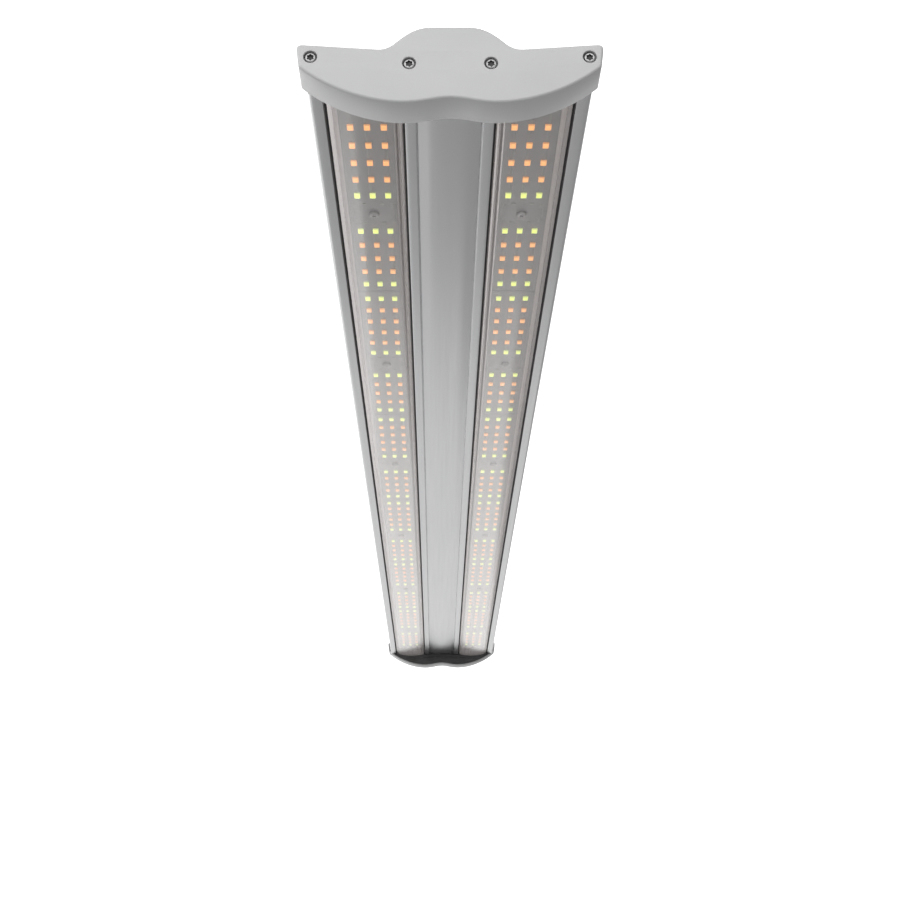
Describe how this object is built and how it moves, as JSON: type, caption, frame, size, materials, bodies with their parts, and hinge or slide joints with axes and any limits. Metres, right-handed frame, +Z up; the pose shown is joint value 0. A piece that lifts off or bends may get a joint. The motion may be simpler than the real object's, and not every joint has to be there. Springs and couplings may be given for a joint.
{
  "type": "led grow light",
  "caption": "Long hanging grow light: a slim extruded bar with two clear-covered LED channels, rounded end caps and sliding hangers on its back.",
  "frame": {"origin": "below the middle of the whole object, level with the lowest edge of the end caps", "axes": "+Y along the bar towards the power inlet, +X across it, +Z up; the LEDs face -Z"},
  "size_m": [0.1234, 1.222, 0.0466],
  "materials": {
    "anodised_aluminium": "satin anodised, fine drawing lines along the bar",
    "clear_cover": "clear gloss plastic",
    "black_rubber": "matte moulded rubber",
    "led_board": "pale solder mask with amber and lime LED packages",
    "screw_steel": "bright plated",
    "cap_grey": "light grey, fine matte powder coat",
    "driver_case": "matte white",
    "black_plastic": "fine moulded grain",
    "lead_jacket": "smooth white jacket",
    "stainless_steel": "brushed stainless"
  },
  "bodies": {
    "bar": {"housing": "anodised_aluminium", "cover_left": "clear_cover", "cover_right": "clear_cover", "seal_left_inner": "black_rubber", "seal_left_outer": "black_rubber", "seal_right_inner": "black_rubber", "seal_right_outer": "black_rubber", "end_gasket_front": "black_rubber", "end_gasket_rear": "black_rubber", "led_board_left_1": "led_board", "led_board_left_2": "led_board", "led_board_left_3": "led_board", "led_board_left_4": "led_board", "led_board_left_5": "led_board", "led_board_left_6": "led_board", "led_board_right_1": "led_board", "led_board_right_2": "led_board", "led_board_right_3": "led_board", "led_board_right_4": "led_board", "led_board_right_5": "led_board", "led_board_right_6": "led_board", "board_screw_left_1": "screw_steel", "board_screw_left_2": "screw_steel", "board_screw_left_3": "screw_steel", "board_screw_left_4": "screw_steel", "board_screw_left_5": "screw_steel", "board_screw_left_6": "screw_steel", "board_screw_right_1": "screw_steel", "board_screw_right_2": "screw_steel", "board_screw_right_3": "screw_steel", "board_screw_right_4": "screw_steel", "board_screw_right_5": "screw_steel", "board_screw_right_6": "screw_steel", "cap_screw_front_1": "screw_steel", "cap_screw_front_2": "screw_steel", "cap_screw_front_3": "screw_steel", "cap_screw_front_4": "screw_steel", "cap_screw_rear_1": "screw_steel", "cap_screw_rear_2": "screw_steel", "cap_screw_rear_3": "screw_steel", "cap_screw_rear_4": "screw_steel", "end_cap_front": "cap_grey", "end_cap_rear": "cap_grey", "driver_front": "driver_case", "driver_rear": "driver_case", "power_inlet": "black_plastic", "inlet_nut": "black_plastic", "vent_plug": "black_plastic", "board_lead_left": "lead_jacket", "board_lead_right": "lead_jacket", "driver_link_lead": "lead_jacket", "inlet_lead": "lead_jacket"},
    "hanger_front": {"hanger_bracket_front": "stainless_steel", "hanger_stud_front": "stainless_steel", "hanger_nut_front": "stainless_steel"},
    "bail_front": {"hanger_bail_front": "stainless_steel"},
    "hanger_rear": {"hanger_bracket_rear": "stainless_steel", "hanger_stud_rear": "stainless_steel", "hanger_nut_rear": "stainless_steel"},
    "bail_rear": {"hanger_bail_rear": "stainless_steel"}
  },
  "joints": [
    {"name": "hanger_front_slide", "type": "slide", "parent": "bar", "child": "hanger_front", "axis": [0, 1, 0], "range_m": [-0.2, 0.2]},
    {"name": "hanger_rear_slide", "type": "slide", "parent": "bar", "child": "hanger_rear", "axis": [0, 1, 0], "range_m": [-0.2, 0.2]},
    {"name": "bail_front_swing", "type": "hinge", "parent": "hanger_front", "child": "bail_front", "pos_m": [0, -0.306, 0.042], "axis": [1, 0, 0], "range_deg": [0, 198]},
    {"name": "bail_rear_swing", "type": "hinge", "parent": "hanger_rear", "child": "bail_rear", "pos_m": [0, 0.294, 0.042], "axis": [-1, 0, 0], "range_deg": [0, 198]}
  ]
}
